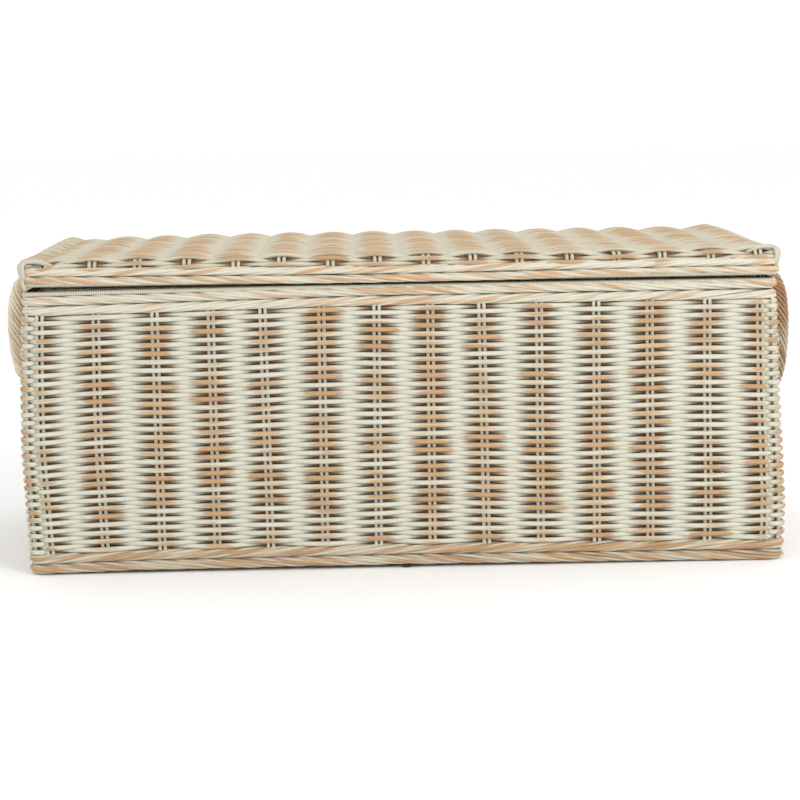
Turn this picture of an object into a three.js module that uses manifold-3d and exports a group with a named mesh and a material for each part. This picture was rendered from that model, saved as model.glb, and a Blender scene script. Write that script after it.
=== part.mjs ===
// A storage ottoman woven from whitewashed rattan: a trunk with a hinged lid that is also the seat.
// Millimetres, +Z up. The origin is on the floor under the middle of the trunk, X runs along its
// length, the front faces -Y, and the hinges are along the back edge.
//
// A frame of round-edged poles carries everything. Woven panels hang on its outside, a braided
// border covers each edge of a panel, and the lid is a second, shallower frame with its own border.
// A woven panel is drawn here as the slab that its weave fills, a border as a round-edged bar.
import * as THREE from "three";
import { mergeVertices } from "three/addons/utils/BufferGeometryUtils.js";
import Module from "manifold-3d";

const wasm = await Module();
wasm.setup();

const GAP = 0.3; // between two pieces that touch
const UP = new THREE.Vector3(0, 0, 1);

// The trunk's outline: it is a little wider at the floor than at the lid.
const HEIGHT = 470; // floor to seat
const TOP_HALF_LENGTH = 550;
const TOP_HALF_DEPTH = 245;
const FLARE = 10; // how far each side stands out further at the floor
const PARTING_Z = 423; // trunk below, lid above

// The weave: two weavers and the stake between them.
const WALL_THICKNESS = 20;
const WALL_INSET = 2; // the borders stand this much proud of the panels
const BORDER_WIDTH = 22;
const BORDER_ROUND = 9;
const BASE_BORDER = { bottom: 4, top: 34 };
const TOP_BORDER = { bottom: 386, top: 416 };
const WALL = { bottom: BASE_BORDER.top + GAP, top: TOP_BORDER.bottom - GAP };

// The frame inside the weave.
const RAIL_WIDTH = 22;
const RAIL_HEIGHT = 21.7;
const RAIL_ROUND = 7;
const RAIL_INSET = BORDER_WIDTH + 0.5;
const BOTTOM_RAIL_Z = 12; // its underside
const TOP_RAIL_Z = PARTING_Z - GAP - RAIL_HEIGHT;
const POST_RADIUS = 10;
const POST_INSET = RAIL_INSET + RAIL_WIDTH / 2;
const BEARER_X = 185;
const BASE_BEARER_RADIUS = 9;
const BASE_MAT = { bottom: BOTTOM_RAIL_Z + RAIL_HEIGHT + GAP, thickness: 14 };

// The lid: its back edge is flush with the trunk's back so that it can swing past upright.
const LID_OVERHANG_X = 6;
const LID_OVERHANG_FRONT = 4;
const LID_HALF_LENGTH = TOP_HALF_LENGTH + LID_OVERHANG_X;
const LID_HALF_DEPTH = TOP_HALF_DEPTH + LID_OVERHANG_FRONT / 2;
const LID_CENTRE_Y = -LID_OVERHANG_FRONT / 2;
const LID_BORDER = { bottom: 430, top: 456 };
const LID_RAIL_Z = PARTING_Z + GAP;
const LID_BEARER_RADIUS = 8;
const SEAT_ROUND = 6.5; // rolled edge of the seat weave
const SEAT_INSET = 1;

// Feet: four stubs under the bottom rails, two low glides under the long borders.
const STUB_RADIUS = 8;
const GLIDE_RADIUS = 6.5;
const GLIDE_INSET = BORDER_WIDTH / 2;
const FOOT_SEGMENTS = 16;

// Handles: a thick twisted loop on each end, hanging as a U that stands off the wall.
const HANDLE_RADIUS = 13;
const HANDLE_SIDES = 12;
const HANDLE_STEPS = 40;
const HANDLE_HALF_WIDTH = 96;
const HANDLE_TOP_Z = 402;
const HANDLE_BOTTOM_Z = 263;
const HANDLE_STANDOFF = 39; // widest distance of its centre line from the end of the trunk

// Butt hinges, let into the back rails of trunk and lid.
const HINGE_X = 330;
const HINGE_Y = 239.5;
const RAIL_CENTRE_Y = TOP_HALF_DEPTH - RAIL_INSET - RAIL_WIDTH / 2; // of both back rails
const LEAF_LENGTH = 60;
const LEAF_THICKNESS = 1.4;
const LEAF_DEPTH = 35.5; // from the pin's axis to the leaf's free edge
const LEAF_SETBACK = 4.2; // from the pin's axis to where the plate starts
const KNUCKLES = 5;
const KNUCKLE_RADIUS = 3.5;
const PIN_RADIUS = 1.5;
const BORE_RADIUS = 1.9;
const SCREW_OFFSET_X = 18;
const SCREW_LENGTH = 16;
const SCREW_RADIUS = 1.5;
const SCREW_HEAD_RADIUS = 3;
const SCREW_CLEARANCE = 0.35;

const rattan = new THREE.MeshStandardMaterial({ color: 0xd9ccb2, roughness: 0.75 });
const bindingCane = new THREE.MeshStandardMaterial({ color: 0xb5aa92, roughness: 0.7 });
const framePole = new THREE.MeshStandardMaterial({ color: 0xbd9468, roughness: 0.8 });
const steel = new THREE.MeshStandardMaterial({ color: 0xa8a8a4, roughness: 0.35, metalness: 1 });
const rubber = new THREE.MeshStandardMaterial({ color: 0x2b2520, roughness: 0.6 });

// Each side of the trunk, as the turn that brings the front to it.
const SIDES = { front: 0, right: Math.PI / 2, back: Math.PI, left: -Math.PI / 2 };

// Half length and half depth of the trunk at a height.
function outlineAt(z) {
  const share = (TOP_BORDER.top - z) / (TOP_BORDER.top - BASE_BORDER.bottom);
  return { x: TOP_HALF_LENGTH + FLARE * share, y: TOP_HALF_DEPTH + FLARE * share };
}

function piece(name, geometry, material) {
  const mesh = new THREE.Mesh(geometry, material);
  mesh.name = name;
  return mesh;
}

// ---- joining and cutting ----

function solidFrom(geometry) {
  const bare = geometry.clone();
  bare.deleteAttribute("normal");
  bare.deleteAttribute("uv");
  const merged = mergeVertices(bare, 1e-4);
  return new wasm.Manifold(
    new wasm.Mesh({
      numProp: 3,
      vertProperties: merged.attributes.position.array,
      triVerts: new Uint32Array(merged.index.array),
    }),
  );
}

function geometryFrom(solid) {
  const { vertProperties, triVerts } = solid.getMesh();
  const geometry = new THREE.BufferGeometry();
  geometry.setAttribute("position", new THREE.BufferAttribute(vertProperties, 3));
  geometry.setIndex(new THREE.BufferAttribute(triVerts, 1));
  geometry.computeVertexNormals();
  return geometry;
}

const join = (...parts) => geometryFrom(parts.map(solidFrom).reduce((sum, part) => sum.add(part)));

function cut(body, tools) {
  const remove = (rest, tool) => rest.subtract(solidFrom(tool));
  return geometryFrom(tools.reduce(remove, solidFrom(body)));
}

// ---- stock ----

function roundedRectangle(width, height, radius) {
  const [x, y] = [width / 2, height / 2];
  const outline = new THREE.Shape();
  outline.absarc(x - radius, -y + radius, radius, -Math.PI / 2, 0);
  outline.absarc(x - radius, y - radius, radius, 0, Math.PI / 2);
  outline.absarc(-x + radius, y - radius, radius, Math.PI / 2, Math.PI);
  outline.absarc(-x + radius, -y + radius, radius, Math.PI, 1.5 * Math.PI);
  return outline;
}

// A round-edged bar along X, centred on the origin.
function bar(length, width, height, radius) {
  const section = roundedRectangle(width, height, radius);
  const settings = { depth: length, bevelEnabled: false, curveSegments: 2 };
  const [x, y, z] = [0, 1, 2].map((axis) => new THREE.Vector3().setComponent(axis, 1));
  return new THREE.ExtrudeGeometry(section, settings)
    .translate(0, 0, -length / 2)
    .applyMatrix4(new THREE.Matrix4().makeBasis(y, z, x));
}

function rod(radius, length, segments = 16) {
  return new THREE.CylinderGeometry(radius, radius, length, segments);
}

// A turned piece standing on z = 0; its profile runs from the axis at the bottom to the axis on top.
function turned(profile, segments) {
  const points = profile.map(([radius, z]) => new THREE.Vector2(radius, z));
  return new THREE.LatheGeometry(points, segments).rotateX(Math.PI / 2);
}

// ---- rings of four bars: rails and borders ----

// Puts a piece made for the front on another side, at a distance from the middle.
function standOnSide(mesh, side, distance, centreY, z) {
  mesh.position.set(0, -distance, z).applyAxisAngle(UP, SIDES[side]);
  mesh.position.y += centreY;
  mesh.rotation.z = SIDES[side];
  return mesh;
}

// Long bars along front and back, short bars between them. finish may cut a bar before it is placed.
function ring(name, outline, inset, section, bottom, material, finish = (stock) => stock) {
  const { x: halfLength, y: halfDepth, centreY = 0 } = outline;
  const { width, height, radius } = section;
  return Object.keys(SIDES).map((side) => {
    const long = side === "front" || side === "back";
    const half = long ? halfLength - inset : halfDepth - inset - width - GAP;
    const reach = (long ? halfDepth : halfLength) - inset - width / 2;
    const stock = finish(bar(2 * half, width, height, radius), side);
    const mesh = piece(`${name}_${side}`, stock, material);
    return standOnSide(mesh, side, reach, centreY, bottom + height / 2);
  });
}

const borderSection = ({ bottom, top }) => ({
  width: BORDER_WIDTH,
  height: top - bottom,
  radius: BORDER_ROUND,
});
const railSection = { width: RAIL_WIDTH, height: RAIL_HEIGHT, radius: RAIL_ROUND };
const lidOutline = { x: LID_HALF_LENGTH, y: LID_HALF_DEPTH, centreY: LID_CENTRE_Y };

// ---- woven panels ----

// A wall is a slab that leans with the outline. The long walls run past the ends of the short ones.
function wall(side) {
  const long = side === "front" || side === "back";
  const slab = new THREE.BoxGeometry(1, 1, 1);
  const corner = slab.attributes.position;
  for (let i = 0; i < corner.count; i++) {
    const z = corner.getZ(i) > 0 ? WALL.top : WALL.bottom;
    const outline = outlineAt(z);
    const along = long
      ? outline.x - WALL_INSET
      : outline.y - WALL_INSET - WALL_THICKNESS - GAP;
    const face = (long ? outline.y : outline.x) - WALL_INSET;
    const depth = corner.getY(i) > 0 ? WALL_THICKNESS : 0;
    corner.setXYZ(i, Math.sign(corner.getX(i)) * along, depth - face, z);
  }
  const mesh = piece(`wall_${side}`, slab, rattan);
  mesh.rotation.z = SIDES[side];
  return mesh;
}

// The woven floor of the trunk lies on the bottom rails, notched round the corner posts.
function baseMat() {
  const outline = outlineAt(BASE_MAT.bottom + BASE_MAT.thickness);
  const edge = BORDER_WIDTH + 0.8;
  const [x, y] = [outline.x - edge, outline.y - edge];
  const notch = POST_INSET + POST_RADIUS + 1 - edge;
  const quarter = [
    [x, y - notch],
    [x - notch, y - notch],
    [x - notch, y],
  ];
  const mirrored = quarter.map(([px, py]) => [-px, py]).reverse();
  const half = [...quarter, ...mirrored];
  const points = [...half, ...half.map(([px, py]) => [-px, -py])];
  const shape = new THREE.Shape(points.map(([px, py]) => new THREE.Vector2(px, py)));
  const mat = new THREE.ExtrudeGeometry(shape, { depth: BASE_MAT.thickness, bevelEnabled: false });
  return piece("base_mat", mat.translate(0, 0, BASE_MAT.bottom), rattan);
}

// The seat: a slab with a rolled edge over the lid's border, and a core that drops inside it.
function lidMat() {
  const bottom = LID_BORDER.top + GAP;
  const [x, y] = [LID_HALF_LENGTH - SEAT_INSET, LID_HALF_DEPTH - SEAT_INSET];
  const flat = roundedRectangle(2 * (x - SEAT_ROUND), 2 * (y - SEAT_ROUND), SEAT_ROUND);
  const slab = new THREE.ExtrudeGeometry(flat, {
    depth: HEIGHT - bottom - 2 * SEAT_ROUND,
    bevelThickness: SEAT_ROUND,
    bevelSize: SEAT_ROUND,
    bevelSegments: 4,
    curveSegments: 3,
  }).translate(0, 0, bottom + SEAT_ROUND);
  const coreBottom = LID_RAIL_Z + RAIL_HEIGHT + GAP;
  const coreHeight = bottom + 1 - coreBottom;
  const edge = BORDER_WIDTH + 1;
  const core = new THREE.BoxGeometry(
    2 * (LID_HALF_LENGTH - edge),
    2 * (LID_HALF_DEPTH - edge),
    coreHeight,
  ).translate(0, 0, coreBottom + coreHeight / 2);
  return piece("lid_mat", join(slab, core).translate(0, LID_CENTRE_Y, 0), rattan);
}

// ---- frame ----

// A corner post leans in with both walls; its ends are cut level.
function cornerPost(name, signX, signY) {
  const bottom = BOTTOM_RAIL_Z + RAIL_HEIGHT + GAP;
  const top = TOP_RAIL_Z - GAP;
  const [low, high] = [outlineAt(bottom), outlineAt(top)];
  const lean = (high.x - low.x) / (top - bottom);
  const shear = new THREE.Matrix4().set(
    1, 0, signX * lean, 0,
    0, 1, signY * lean, 0,
    0, 0, 1, 0,
    0, 0, 0, 1,
  );
  const post = rod(POST_RADIUS, top - bottom).rotateX(Math.PI / 2).applyMatrix4(shear);
  const mesh = piece(name, post, framePole);
  const [x, y] = [(low.x + high.x) / 2 - POST_INSET, (low.y + high.y) / 2 - POST_INSET];
  mesh.position.set(signX * x, signY * y, (bottom + top) / 2);
  return mesh;
}

// A round pole from front rail to back rail.
function bearer(name, x, centreY, halfSpan, radius, topZ) {
  const mesh = piece(name, rod(radius, 2 * halfSpan), framePole);
  mesh.position.set(x, centreY, topZ - radius);
  return mesh;
}

// ---- feet ----

function foot(name, x, y, radius, height, edge) {
  const profile = [
    [0, 0],
    [radius - edge, 0],
    [radius, edge],
    [radius, height],
    [0, height],
  ];
  const mesh = piece(name, turned(profile, FOOT_SEGMENTS), rubber);
  mesh.position.set(x, y, 0);
  return mesh;
}

// ---- handles ----

// A handle on the +X end: straight out of the top border, down in a U, and straight back in.
function handle(name, turn) {
  const start = outlineAt(HANDLE_TOP_Z).x + GAP + 0.1;
  const drop = HANDLE_TOP_Z - HANDLE_BOTTOM_Z;
  // Distance out as a share of the standoff, place along the wall, and share of the drop.
  const leg = [
    [0.2, HANDLE_HALF_WIDTH, 0],
    [0.5, HANDLE_HALF_WIDTH, 0.03],
    [0.85, HANDLE_HALF_WIDTH - 1, 0.16],
    [1, HANDLE_HALF_WIDTH - 4, 0.4],
    [0.93, HANDLE_HALF_WIDTH - 14, 0.7],
    [0.84, HANDLE_HALF_WIDTH - 42, 0.93],
  ];
  const bottom = [0.8, 0, 1];
  const mirrored = leg.map(([out, y, fall]) => [out, -y, fall]).reverse();
  const place = ([out, y, fall]) =>
    new THREE.Vector3(start + out * HANDLE_STANDOFF, -y, HANDLE_TOP_Z - fall * drop);
  const bend = [...leg, bottom, ...mirrored].map(place);
  const path = new THREE.CurvePath();
  path.add(new THREE.LineCurve3(place([0, HANDLE_HALF_WIDTH, 0]), bend[0]));
  path.add(new THREE.CatmullRomCurve3(bend));
  path.add(new THREE.LineCurve3(bend.at(-1), place([0, -HANDLE_HALF_WIDTH, 0])));
  const section = new THREE.Shape().absarc(0, 0, HANDLE_RADIUS, 0, 2 * Math.PI);
  const loop = new THREE.ExtrudeGeometry(section, {
    steps: HANDLE_STEPS,
    curveSegments: HANDLE_SIDES / 2,
    extrudePath: path,
  });
  const mesh = piece(name, loop, rattan);
  mesh.rotation.z = turn;
  return mesh;
}

// ---- hinges ----

// One leaf with its knuckles, drawn about the pin's axis. face is -1 for the trunk's leaf, +1 for
// the lid's; knuckles lists which of the barrel's segments belong to it.
function hingeLeaf(face, knuckles) {
  const middleZ = face * (GAP + LEAF_THICKNESS / 2);
  const plateDepth = LEAF_DEPTH - LEAF_SETBACK;
  const plateY = -LEAF_SETBACK - plateDepth / 2;
  const plate = new THREE.BoxGeometry(LEAF_LENGTH, plateDepth, LEAF_THICKNESS);
  const parts = [plate.translate(0, plateY, middleZ)];
  const pitch = (LEAF_LENGTH + GAP) / KNUCKLES;
  for (const index of knuckles) {
    const x = (index - (KNUCKLES - 1) / 2) * pitch;
    const neck = new THREE.BoxGeometry(pitch - GAP, LEAF_SETBACK - BORE_RADIUS, LEAF_THICKNESS);
    const neckY = -(LEAF_SETBACK + BORE_RADIUS) / 2 - 0.1;
    parts.push(neck.translate(x, neckY, middleZ));
    parts.push(rod(KNUCKLE_RADIUS, pitch - GAP, 20).rotateZ(Math.PI / 2).translate(x, 0, 0));
  }
  const bore = rod(BORE_RADIUS, 2 * LEAF_LENGTH, 20).rotateZ(Math.PI / 2);
  const holes = [-1, 1].map((side) => {
    const hole = screwHole();
    if (face > 0) hole.rotateX(Math.PI);
    return hole.translate(side * SCREW_OFFSET_X, RAIL_CENTRE_Y - HINGE_Y, face * GAP);
  });
  return cut(join(...parts), [bore, ...holes]);
}

function hingePin() {
  const reach = LEAF_LENGTH / 2 + 0.5;
  const headRadius = KNUCKLE_RADIUS - 0.6;
  const profile = [
    [0, -reach - 1.2],
    [headRadius - 0.5, -reach - 1.2],
    [headRadius, -reach - 0.7],
    [headRadius, -reach],
    [PIN_RADIUS, -reach],
    [PIN_RADIUS, reach],
    [headRadius, reach],
    [headRadius, reach + 0.7],
    [headRadius - 0.5, reach + 1.2],
    [0, reach + 1.2],
  ];
  return turned(profile, 20).rotateY(Math.PI / 2);
}

// A countersunk wood screw, its head flush with z = 0 and its point down.
function screw() {
  const profile = [
    [0, -SCREW_LENGTH],
    [SCREW_RADIUS, -SCREW_LENGTH + 3],
    [SCREW_RADIUS, -LEAF_THICKNESS],
    [SCREW_HEAD_RADIUS, 0],
    [0, 0],
  ];
  return turned(profile, 12);
}

// The clearance for that screw, open above z = 0.
function screwHole() {
  const radius = SCREW_RADIUS + SCREW_CLEARANCE;
  const mouth = SCREW_HEAD_RADIUS + SCREW_CLEARANCE;
  const profile = [
    [0, -SCREW_LENGTH - SCREW_CLEARANCE],
    [radius, -SCREW_LENGTH - SCREW_CLEARANCE],
    [radius, -LEAF_THICKNESS],
    [mouth, 0],
    [mouth, 2],
    [0, 2],
  ];
  return turned(profile, 12);
}

// The back rail of trunk or lid: a shallow seat for each hinge leaf and a hole for each screw.
// face is +1 where the hinges lie on the rail and -1 where they lie under it.
function seatHinges(rail, face) {
  const depth = LEAF_THICKNESS + GAP;
  // The rail is drawn facing the front, so the leaf's free edge lies on its +Y side.
  const freeEdge = RAIL_CENTRE_Y - (HINGE_Y - LEAF_DEPTH);
  const seatY = freeEdge + 2 * GAP - RAIL_WIDTH / 2;
  const tools = [];
  for (const x of [-HINGE_X, HINGE_X]) {
    const seat = new THREE.BoxGeometry(LEAF_LENGTH + 4 * GAP, RAIL_WIDTH, 2 * depth);
    tools.push(seat.translate(x, seatY, (face * RAIL_HEIGHT) / 2));
    for (const side of [-1, 1]) {
      const hole = screwHole();
      if (face < 0) hole.rotateX(Math.PI);
      tools.push(hole.translate(x + side * SCREW_OFFSET_X, 0, (face * RAIL_HEIGHT) / 2));
    }
  }
  return cut(rail, tools);
}

const seatOnBackRail = (face) => (stock, side) => (side === "back" ? seatHinges(stock, face) : stock);

// ---- the trunk ----

const trunk = new THREE.Group();
const bottomOutline = outlineAt(BOTTOM_RAIL_Z + RAIL_HEIGHT);
const topOutline = outlineAt(TOP_RAIL_Z + RAIL_HEIGHT);

trunk.add(...ring("bottom_rail", bottomOutline, RAIL_INSET, railSection, BOTTOM_RAIL_Z, framePole));
trunk.add(
  ...ring("top_rail", topOutline, RAIL_INSET, railSection, TOP_RAIL_Z, bindingCane, seatOnBackRail(1)),
);
for (const [end, signX] of [["left", -1], ["right", 1]]) {
  for (const [face, signY] of [["front", -1], ["back", 1]]) {
    trunk.add(cornerPost(`corner_post_${face}_${end}`, signX, signY));
    const inset = POST_INSET;
    const [x, y] = [signX * (bottomOutline.x - inset), signY * (bottomOutline.y - inset)];
    trunk.add(foot(`foot_${face}_${end}`, x, y, STUB_RADIUS, BOTTOM_RAIL_Z - GAP, 1.5));
  }
  const halfSpan = bottomOutline.y - RAIL_INSET - RAIL_WIDTH - GAP;
  const topZ = BOTTOM_RAIL_Z + RAIL_HEIGHT;
  const x = signX * BEARER_X;
  trunk.add(bearer(`base_bearer_${end}`, x, 0, halfSpan, BASE_BEARER_RADIUS, topZ));
}
for (const [face, signY] of [["front", -1], ["back", 1]]) {
  const y = signY * (outlineAt(BASE_BORDER.bottom).y - GLIDE_INSET);
  trunk.add(foot(`foot_${face}_middle`, 0, y, GLIDE_RADIUS, BASE_BORDER.bottom - GAP, 1.2));
}
trunk.add(baseMat());
trunk.add(...Object.keys(SIDES).map(wall));
for (const [name, border] of [["base_braid", BASE_BORDER], ["top_braid", TOP_BORDER]]) {
  const section = borderSection(border);
  trunk.add(...ring(name, outlineAt(border.bottom), 0, section, border.bottom, rattan));
}
trunk.add(handle("handle_right", 0), handle("handle_left", Math.PI));

// ---- the lid ----

const lid = new THREE.Group();
const lidBorderSection = borderSection(LID_BORDER);
const lidRailTop = LID_RAIL_Z + RAIL_HEIGHT;

lid.add(
  ...ring("lid_rail", lidOutline, RAIL_INSET, railSection, LID_RAIL_Z, bindingCane, seatOnBackRail(-1)),
);
lid.add(...ring("lid_braid", lidOutline, 0, lidBorderSection, LID_BORDER.bottom, rattan));
for (const [end, signX] of [["left", -1], ["right", 1]]) {
  const halfSpan = LID_HALF_DEPTH - RAIL_INSET - RAIL_WIDTH - GAP;
  const x = signX * BEARER_X;
  lid.add(bearer(`lid_bearer_${end}`, x, LID_CENTRE_Y, halfSpan, LID_BEARER_RADIUS, lidRailTop));
}
lid.add(lidMat());

// ---- the hinges: a leaf on each side, and the pin and screws that hold them ----

for (const [end, signX] of [["left", -1], ["right", 1]]) {
  const onAxis = (group, mesh) => {
    mesh.position.set(signX * HINGE_X, HINGE_Y, PARTING_Z);
    group.add(mesh);
  };
  onAxis(trunk, piece(`hinge_body_leaf_${end}`, hingeLeaf(-1, [0, 2, 4]), steel));
  onAxis(lid, piece(`hinge_lid_leaf_${end}`, hingeLeaf(1, [1, 3]), steel));
  onAxis(trunk, piece(`hinge_pin_${end}`, hingePin(), steel));
  for (const [hand, offset] of [["outer", signX], ["inner", -signX]]) {
    const x = signX * HINGE_X + offset * SCREW_OFFSET_X;
    const bodyScrew = piece(`hinge_body_screw_${end}_${hand}`, screw(), steel);
    bodyScrew.position.set(x, RAIL_CENTRE_Y, PARTING_Z - GAP);
    const lidScrew = piece(`hinge_lid_screw_${end}_${hand}`, screw(), steel);
    lidScrew.position.set(x, RAIL_CENTRE_Y, PARTING_Z + GAP);
    lidScrew.rotation.x = Math.PI;
    trunk.add(bodyScrew);
    lid.add(lidScrew);
  }
}

const ottoman = new THREE.Group();
ottoman.add(trunk, lid);

export default ottoman;
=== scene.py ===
# %% [markdown]
# # A storage ottoman woven in whitewashed rattan
# The object is a long lidded trunk. Pairs of stakes stand round a pole frame, and round canes are
# woven in front of one pair and behind the next. Two twisted ropes of cane finish each edge, twisted
# bundles make the handles, and a limewash is brushed over everything and then rubbed off the high
# spots. The CAD frame fixes every size, so this lesson only adds canes and finishes.

# %% The frame and its box
import math

import bpy
import numpy as np
from mathutils import Matrix, Vector


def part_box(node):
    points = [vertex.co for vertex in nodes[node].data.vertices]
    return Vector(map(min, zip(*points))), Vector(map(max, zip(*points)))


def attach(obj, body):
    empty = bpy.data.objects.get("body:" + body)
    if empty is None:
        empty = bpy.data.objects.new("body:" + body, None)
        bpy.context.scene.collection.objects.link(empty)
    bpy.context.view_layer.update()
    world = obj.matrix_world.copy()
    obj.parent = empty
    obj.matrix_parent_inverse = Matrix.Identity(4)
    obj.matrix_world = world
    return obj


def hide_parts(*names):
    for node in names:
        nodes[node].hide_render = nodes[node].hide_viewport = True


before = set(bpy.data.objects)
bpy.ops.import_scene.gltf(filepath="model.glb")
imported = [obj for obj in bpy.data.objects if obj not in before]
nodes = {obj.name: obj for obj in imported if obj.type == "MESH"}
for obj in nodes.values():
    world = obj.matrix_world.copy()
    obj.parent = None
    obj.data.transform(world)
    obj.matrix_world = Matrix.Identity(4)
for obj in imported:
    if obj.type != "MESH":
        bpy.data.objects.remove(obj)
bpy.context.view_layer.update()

MM = 0.001
chance = np.random.default_rng(20)  # seeded, so every run grows the same canes
print("CAD nodes:", len(nodes))


# %% [markdown]
# ## Measuring the frame
# All later sizes are millimetres, so the boxes of the CAD nodes are read once in millimetres.
# The trunk flares a little towards the floor: its outline is known at the foot and at the rim.


# %% Outlines of the trunk and the lid
def low(node):
    return np.array(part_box(node)[0]) / MM


def high(node):
    return np.array(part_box(node)[1]) / MM


foot_half = np.array([high("base_braid_right")[0], high("base_braid_back")[1]])
rim_half = np.array([high("top_braid_right")[0], high("top_braid_back")[1]])
foot_z = low("base_braid_right")[2]
rim_z = low("top_braid_right")[2]
wall_low = low("wall_front")[2]
wall_high = high("wall_front")[2]
print("half sizes at the foot", foot_half, "and under the rim", rim_half)


def flare(z):
    """How far the outline at height z stands outside the outline under the rim."""
    return (rim_z - z) / (rim_z - foot_z) * (foot_half[0] - rim_half[0])


def smooth(share):
    share = np.clip(share, 0, 1)
    return share * share * (3 - 2 * share)


def settle(path):
    """The trunk as a hand wove it: the left end bellies out, the right end kicks out at the floor,
    and along the front the borders rise a few millimetres towards the middle."""
    x, y, z = path[..., 0], path[..., 1], path[..., 2]
    climb = (z - foot_z) / (rim_z - foot_z)
    left = smooth((-x - 330) / 220)
    right = smooth((x - 330) / 220)
    belly = np.sin(np.pi * np.clip(climb, 0, 1))
    front = np.clip(0.5 - y / 490, 0, 1)
    foot_rise = np.interp(x, (-550, -400, 0, 250, 500), (-1.2, 1.6, 2.4, 0.4, -1.6))
    rim_rise = np.interp(x, (-550, -60, 500), (-2.8, 4.6, 4.8))
    left_out = np.interp(climb, (0, 0.28, 0.5, 0.75, 1), (0.5, 6.5, 11.5, 11, 8.5))
    right_out = np.interp(climb, (0, 0.12, 0.25, 0.45, 0.65, 1), (7, 10, 11, 8, 5, 3.5))
    shift_x = right * right_out - left * left_out
    shift_y = 2.0 * belly * np.sign(y) * smooth((np.abs(y) - 150) / 60)
    sag = 6.0 * belly * smooth((-x - 400) / 150)
    shift_z = front * (foot_rise * (1 - climb) + rim_rise * climb - sag)
    return np.stack([x + shift_x, y + shift_y, z + shift_z], -1)


# %% [markdown]
# ## Walking round the trunk
# A cane that goes round the trunk is described by the distance walked along a rounded rectangle,
# starting at the middle of the front left corner. Everything else is an offset outwards from it.


# %% Walking round a rounded rectangle
def side_starts(half, corner):
    lengths = [2 * (half[k % 2] - corner) + corner * np.pi / 2 for k in range(4)]
    return np.concatenate([[0], np.cumsum(lengths)])


def walk(distance, half, corner):
    """Points and outward normals, both (..., 2), at these distances round the outline."""
    starts = side_starts(half, corner)
    distance = np.asarray(distance, float) % starts[-1]
    side = np.clip(np.searchsorted(starts, distance, "right") - 1, 0, 3)
    middle = (starts[side] + starts[side + 1]) / 2
    flat = np.take(half, side % 2) - corner
    across = distance - middle
    bend = np.sign(across) * np.clip(np.abs(across) - flat, 0, None) / corner
    u = np.clip(across, -flat, flat) + corner * np.sin(bend)
    v = np.take(half, (side + 1) % 2) - corner + corner * np.cos(bend)
    turn = side * np.pi / 2
    east = u * np.cos(turn) + v * np.sin(turn)
    north = u * np.sin(turn) - v * np.cos(turn)
    normal = np.stack([np.sin(turn + bend), -np.cos(turn + bend)], -1)
    return np.stack([east, north], -1), normal


print("walk round the rim:", round(side_starts(rim_half, 8)[-1]), "mm")


# %% [markdown]
# ## Sweeping canes
# A cane is a round section swept along a path. A bevelled curve for each cane would give the same
# shape, but sweeping all of them at once in arrays is quick, and lets each vertex keep three facts
# for the finish: how proud of the weave it stands, where it is in the cane's own grain, and a tone
# that belongs to that cane. Rattan is grown, so radius and course wander a little.


# %% Sweeps
def unit(vectors):
    return vectors / np.linalg.norm(vectors, axis=-1, keepdims=True)


def lift(points, heights):
    """Joins flat points (..., 2) and heights (...) into points in space."""
    heights = np.broadcast_to(heights, points.shape[:-1])
    return np.concatenate([points, heights[..., None]], -1)


def wander(share, knots, size, canes):
    """Smooth random drift that closes on itself, one row per cane; share runs from 0 to 1."""
    place = (np.asarray(share) % 1) * knots
    knot = np.floor(place).astype(int) % knots
    blend = place - np.floor(place)
    blend = blend * blend * (3 - 2 * blend)
    values = chance.normal(0, size, (canes, knots))
    row = np.arange(canes)[:, None]
    return values[row, knot] * (1 - blend) + values[row, (knot + 1) % knots] * blend


def sweep(path, outward, section, proud, closed=False):
    """path and outward are (canes, points, 3), section (canes, points, sides, 2) in mm outwards and
    sideways, and proud (canes, points), the height of the cane's middle above the weave's middle."""
    canes, points = path.shape[:2]
    section = np.broadcast_to(section, (canes, points) + section.shape[-2:])
    sides = section.shape[2]
    if closed:
        tangent = unit(np.roll(path, -1, 1) - np.roll(path, 1, 1))
    else:
        tangent = unit(np.gradient(path, axis=1))
    normal = unit(outward - tangent * np.sum(outward * tangent, -1, keepdims=True))
    aside = np.cross(tangent, normal)
    up = section[..., 0]
    over = section[..., 1]
    ring = path[:, :, None] + up[..., None] * normal[:, :, None]
    ring = ring + over[..., None] * aside[:, :, None]
    steps = np.linalg.norm(np.diff(path, axis=1, prepend=path[:, :1]), axis=-1)
    along = np.cumsum(steps, 1) + chance.uniform(0, 9000, (canes, 1))
    along = np.broadcast_to(along[..., None], up.shape)
    index = np.arange(canes * points * sides).reshape(canes, points, sides)
    here = index if closed else index[:, :-1]
    there = np.roll(index, -1, 1) if closed else index[:, 1:]
    quads = np.stack([here, np.roll(here, -1, 2), np.roll(there, -1, 2), there], -1)
    faces = quads.reshape(-1, 4).tolist()
    if not closed:
        faces += index[:, 0, ::-1].tolist() + index[:, -1].tolist()
    return {
        "points": ring.reshape(-1, 3),
        "faces": faces,
        "proud": (proud[..., None] + up).ravel(),
        "grain": np.stack([along, up, over], -1).reshape(-1, 3),
        "tone": np.broadcast_to(chance.random((canes, 1, 1)), up.shape).ravel(),
    }


def round_section(radius, sides=8):
    """Circles of this radius, (canes, points) in mm, as sections for sweep."""
    turn = 2 * np.pi * np.arange(sides) / sides
    return np.asarray(radius)[..., None, None] * np.stack([np.cos(turn), np.sin(turn)], -1)


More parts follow.
